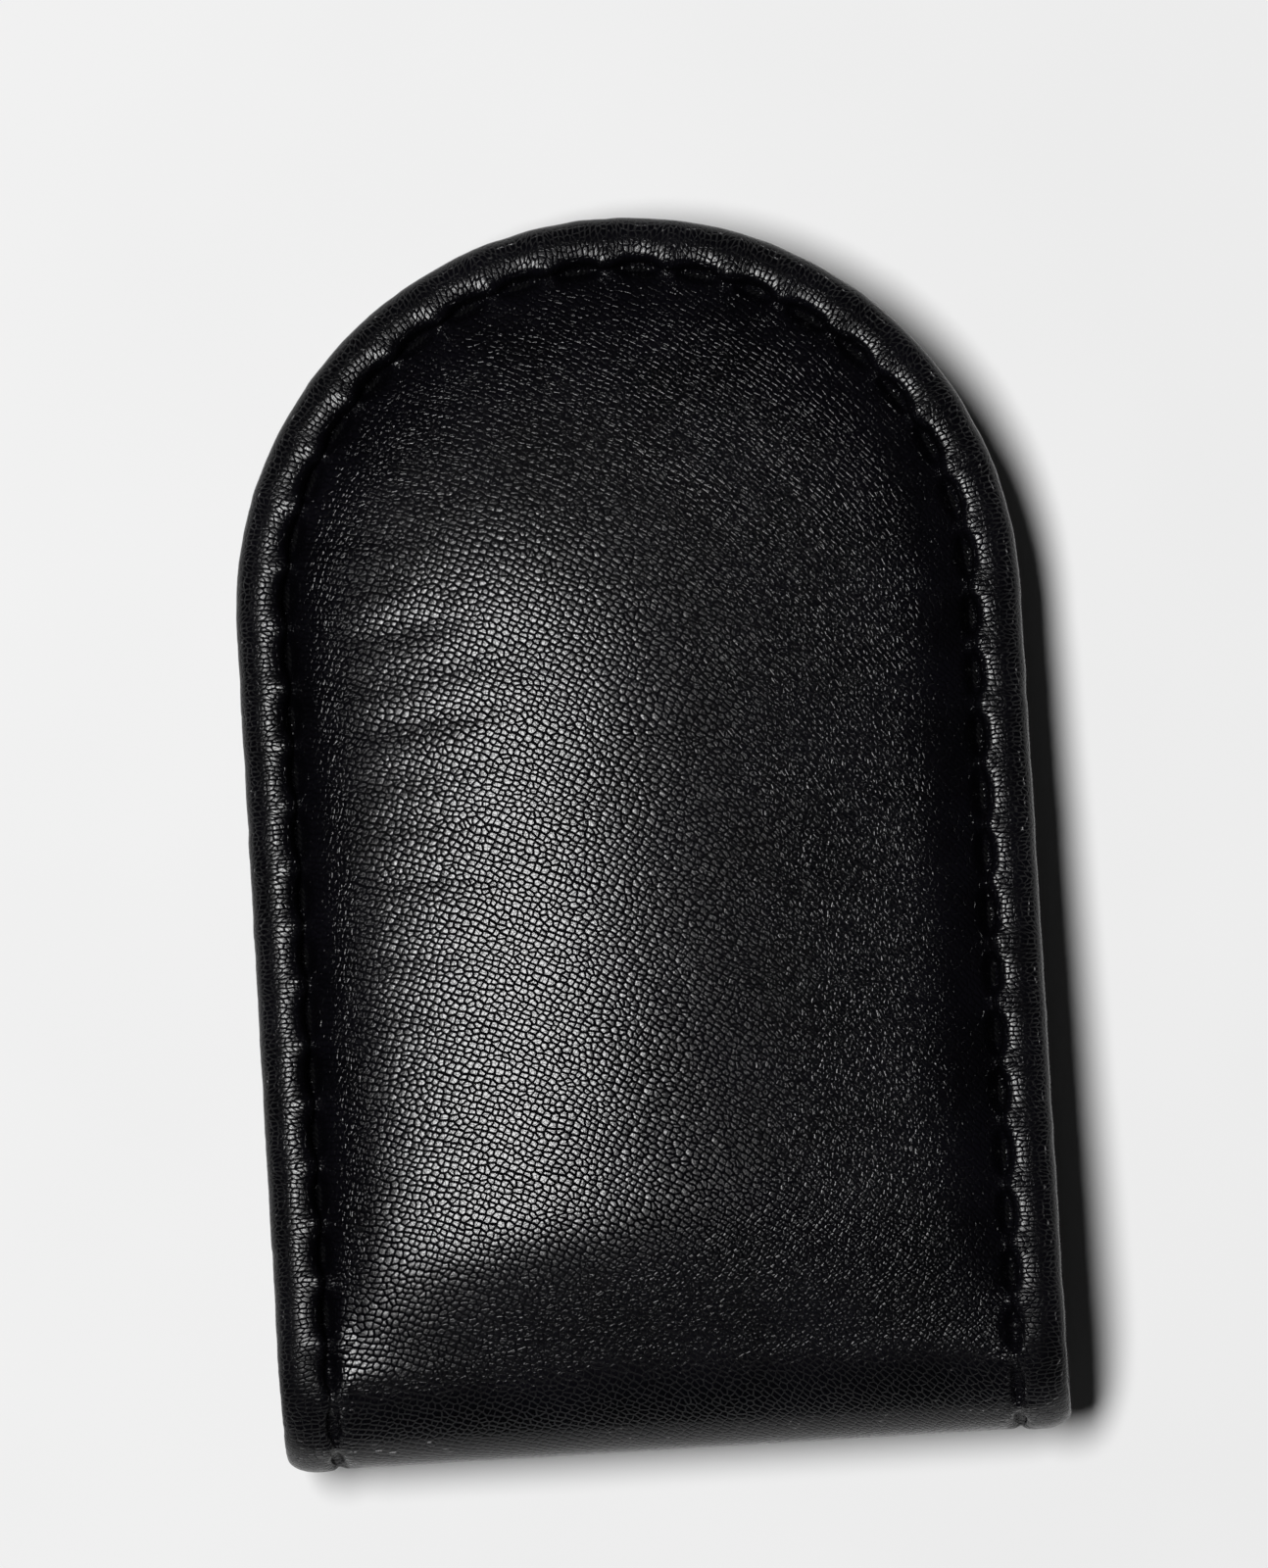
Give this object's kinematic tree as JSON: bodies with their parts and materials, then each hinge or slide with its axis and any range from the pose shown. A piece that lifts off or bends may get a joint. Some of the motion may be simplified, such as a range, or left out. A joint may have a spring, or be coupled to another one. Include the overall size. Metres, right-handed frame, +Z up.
{
  "type": "money clip",
  "caption": "Folded padded leather strip with a rounded tip and magnets inside, which clamps folded banknotes between its two leaves.",
  "frame": {"origin": "middle of the footprint, on the surface that the closed clip lies on", "axes": "+X across the clip, +Y from the folded spine to the rounded tip, +Z up out of the front leaf"},
  "size_m": [0.0476, 0.0751, 0.0146],
  "materials": {
    "leather": "soft black pebbled nappa, semi-matt with a low sheen",
    "lining_leather": "smooth matt black lining leather",
    "filler_leather": "unfinished split leather, hidden",
    "foam": "thin felt padding, hidden",
    "board": "grey bookbinder's board, hidden",
    "magnet": "nickel-plated magnet, hidden",
    "thread": "waxed black polyester thread"
  },
  "bodies": {
    "back_leaf": {"cover_back": "leather", "lining_back": "lining_leather", "filler_back": "filler_leather", "foam_back": "foam", "board_back": "board", "top_thread_back": "thread", "bobbin_thread_back": "thread", "magnet_back_root": "magnet", "magnet_back_tip": "magnet"},
    "front_leaf": {"cover_front": "leather", "lining_front": "lining_leather", "filler_front": "filler_leather", "foam_front": "foam", "board_front": "board", "top_thread_front": "thread", "bobbin_thread_front": "thread", "magnet_front_root": "magnet", "magnet_front_tip": "magnet"},
    "spine_1": {"cover_spine_1": "leather", "lining_spine_1": "lining_leather", "filler_spine_1": "filler_leather", "top_thread_spine_1": "thread", "bobbin_thread_spine_1": "thread"},
    "spine_2": {"cover_spine_2": "leather", "lining_spine_2": "lining_leather", "filler_spine_2": "filler_leather", "top_thread_spine_2": "thread", "bobbin_thread_spine_2": "thread"},
    "spine_3": {"cover_spine_3": "leather", "lining_spine_3": "lining_leather", "filler_spine_3": "filler_leather", "top_thread_spine_3": "thread", "bobbin_thread_spine_3": "thread"},
    "spine_4": {"cover_spine_4": "leather", "lining_spine_4": "lining_leather", "filler_spine_4": "filler_leather", "top_thread_spine_4": "thread", "bobbin_thread_spine_4": "thread"}
  },
  "joints": [
    {"name": "fold_1", "type": "hinge", "parent": "back_leaf", "child": "spine_1", "pos_m": [0, -0.0336, 0.00219], "axis": [1, 0, 0], "range_deg": [-0.16, 36], "stiffness_Nm_per_rad": 0.02},
    {"name": "fold_2", "type": "hinge", "parent": "spine_1", "child": "spine_2", "pos_m": [0, -0.03648, 0.00435], "axis": [1, 0, 0], "range_deg": [-0.16, 36], "stiffness_Nm_per_rad": 0.02},
    {"name": "fold_3", "type": "hinge", "parent": "spine_2", "child": "spine_3", "pos_m": [0, -0.0375, 0.0078], "axis": [1, 0, 0], "range_deg": [-0.16, 36], "stiffness_Nm_per_rad": 0.02},
    {"name": "fold_4", "type": "hinge", "parent": "spine_3", "child": "spine_4", "pos_m": [0, -0.03624, 0.01117], "axis": [1, 0, 0], "range_deg": [-0.16, 36], "stiffness_Nm_per_rad": 0.02},
    {"name": "fold_5", "type": "hinge", "parent": "spine_4", "child": "front_leaf", "pos_m": [0, -0.03322, 0.01312], "axis": [1, 0, 0], "range_deg": [-0.16, 36], "stiffness_Nm_per_rad": 0.02}
  ],
  "couplings": [
    {"joint": "fold_2", "follows": "fold_1", "ratio": 1},
    {"joint": "fold_3", "follows": "fold_1", "ratio": 1},
    {"joint": "fold_4", "follows": "fold_1", "ratio": 1},
    {"joint": "fold_5", "follows": "fold_1", "ratio": 1}
  ]
}
